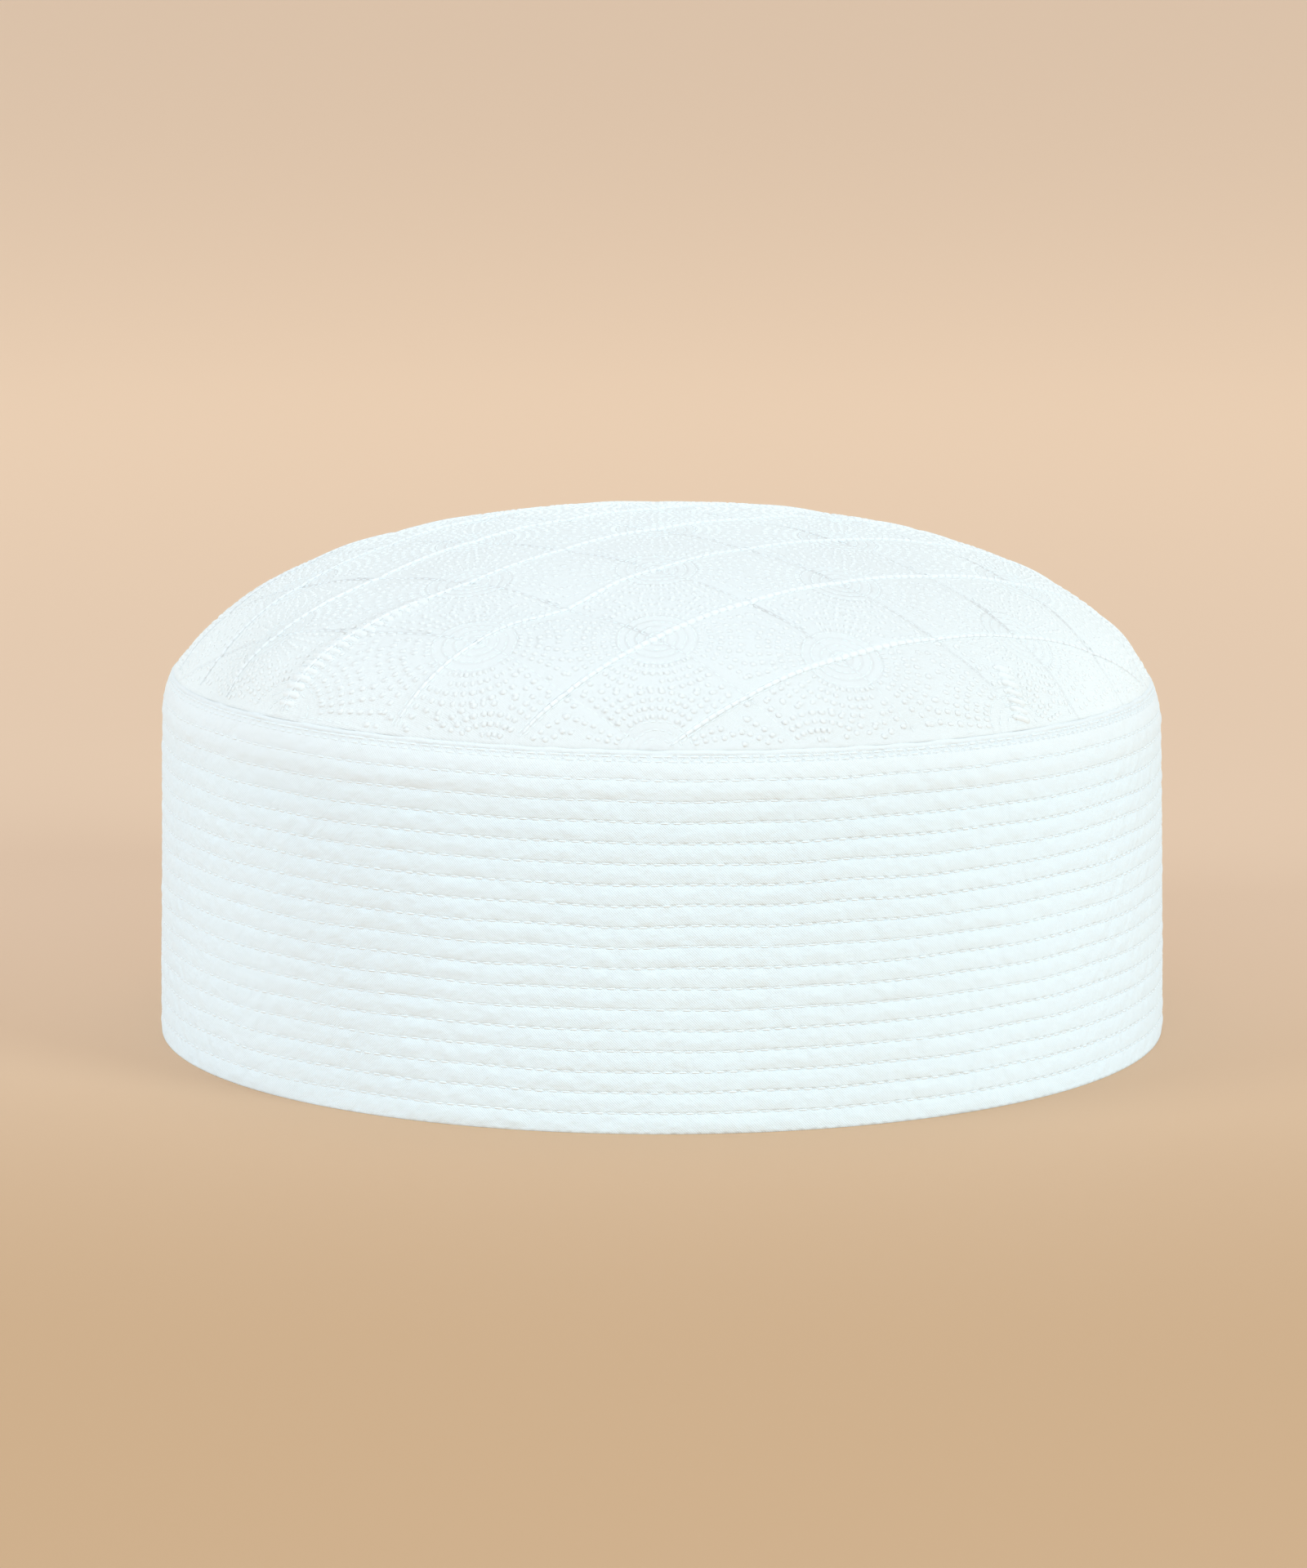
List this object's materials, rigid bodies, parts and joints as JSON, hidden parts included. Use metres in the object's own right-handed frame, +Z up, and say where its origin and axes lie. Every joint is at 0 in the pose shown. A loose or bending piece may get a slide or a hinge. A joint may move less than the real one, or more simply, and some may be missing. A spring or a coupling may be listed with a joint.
{
  "type": "kufi cap",
  "caption": "Stiff round cap worn on the head: a corded side band, a narrow piping on its top edge and a low domed crown crossed by a diamond lattice of raised tucks.",
  "frame": {"origin": "on the floor under the middle of the rim", "axes": "+Z up from the rim to the crown, -Y towards the side that the wearer's face is on, +X to the wearer's left"},
  "size_m": [0.185, 0.185, 0.0948],
  "materials": {
    "corded_cotton": "matte white cotton sewn over cords, with stitched grooves",
    "folded_cotton": "smooth matte white cotton folded over a thin cord",
    "embroidered_cotton": "matte white padded cotton with raised tucks and white stitching"
  },
  "bodies": {
    "root": {"band": "corded_cotton", "piping": "folded_cotton", "crown": "embroidered_cotton"}
  },
  "joints": []
}
